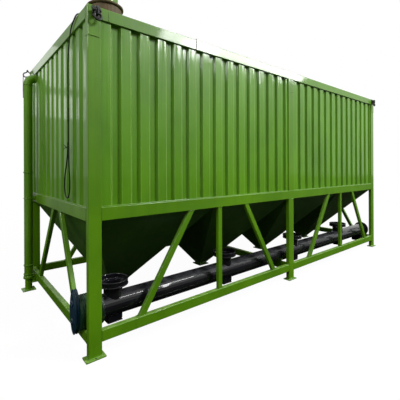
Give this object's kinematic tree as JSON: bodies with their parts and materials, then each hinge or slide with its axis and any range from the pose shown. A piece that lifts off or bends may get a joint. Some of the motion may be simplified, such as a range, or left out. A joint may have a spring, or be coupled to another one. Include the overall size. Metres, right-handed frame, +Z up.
{
  "type": "horizontal cement silo",
  "caption": "Green horizontal cement silo: corrugated steel bin on a braced frame, with hoppers, a stowed screw conveyor, a fill pipe and a roof filter.",
  "frame": {"origin": "on the floor, at the middle of the object's box seen from above", "axes": "+X along the long side towards the conveyor's discharge end, +Y towards the back long side, +Z up"},
  "size_m": [6.249, 2.5626, 3.622],
  "materials": {
    "green_paint": "semi-gloss grass green enamel, lightly dusty",
    "wall_sheet": "semi-gloss green enamel on pressed sheet",
    "hopper_plate": "satin dark olive green, dusty",
    "black_paint": "semi-gloss black enamel",
    "dark_green_paint": "semi-gloss dark green enamel",
    "blue_paint": "semi-gloss dark blue enamel",
    "brown_paint": "dull brown primer, dusty",
    "cable_rubber": "matt black rubber"
  },
  "bodies": {
    "root": {"front_left_post": "green_paint", "front_right_post": "green_paint", "back_left_post": "green_paint", "back_right_post": "green_paint", "front_mid_post": "green_paint", "back_mid_post": "green_paint", "front_mid_stud": "green_paint", "back_mid_stud": "green_paint", "front_top_rail": "green_paint", "back_top_rail": "green_paint", "left_top_rail": "green_paint", "right_top_rail": "green_paint", "front_belt_rail": "green_paint", "back_belt_rail": "green_paint", "left_belt_rail": "green_paint", "right_belt_rail": "green_paint", "mid_cross_rail": "green_paint", "front_left_bracing": "green_paint", "front_right_bracing": "green_paint", "back_left_bracing": "green_paint", "back_right_bracing": "green_paint", "left_bracing": "green_paint", "right_bracing": "green_paint", "fill_pipe": "green_paint", "vent_filter": "green_paint", "front_left_wall": "wall_sheet", "front_right_wall": "wall_sheet", "back_left_wall": "wall_sheet", "back_right_wall": "wall_sheet", "left_wall": "wall_sheet", "right_wall": "wall_sheet", "roof_sheet": "wall_sheet", "hopper_1": "hopper_plate", "hopper_2": "hopper_plate", "hopper_3": "hopper_plate", "hopper_4": "hopper_plate", "conveyor_tube": "black_paint", "end_bearing": "black_paint", "screw_shaft": "black_paint", "drive_housing": "dark_green_paint", "drive_guard": "blue_paint", "vent_base": "brown_paint", "outlet_1": "hopper_plate", "outlet_2": "hopper_plate", "outlet_3": "hopper_plate", "outlet_4": "hopper_plate", "front_left_lug": "green_paint", "front_right_lug": "green_paint", "back_left_lug": "green_paint", "back_right_lug": "green_paint", "vent_cable": "cable_rubber"}
  },
  "joints": []
}
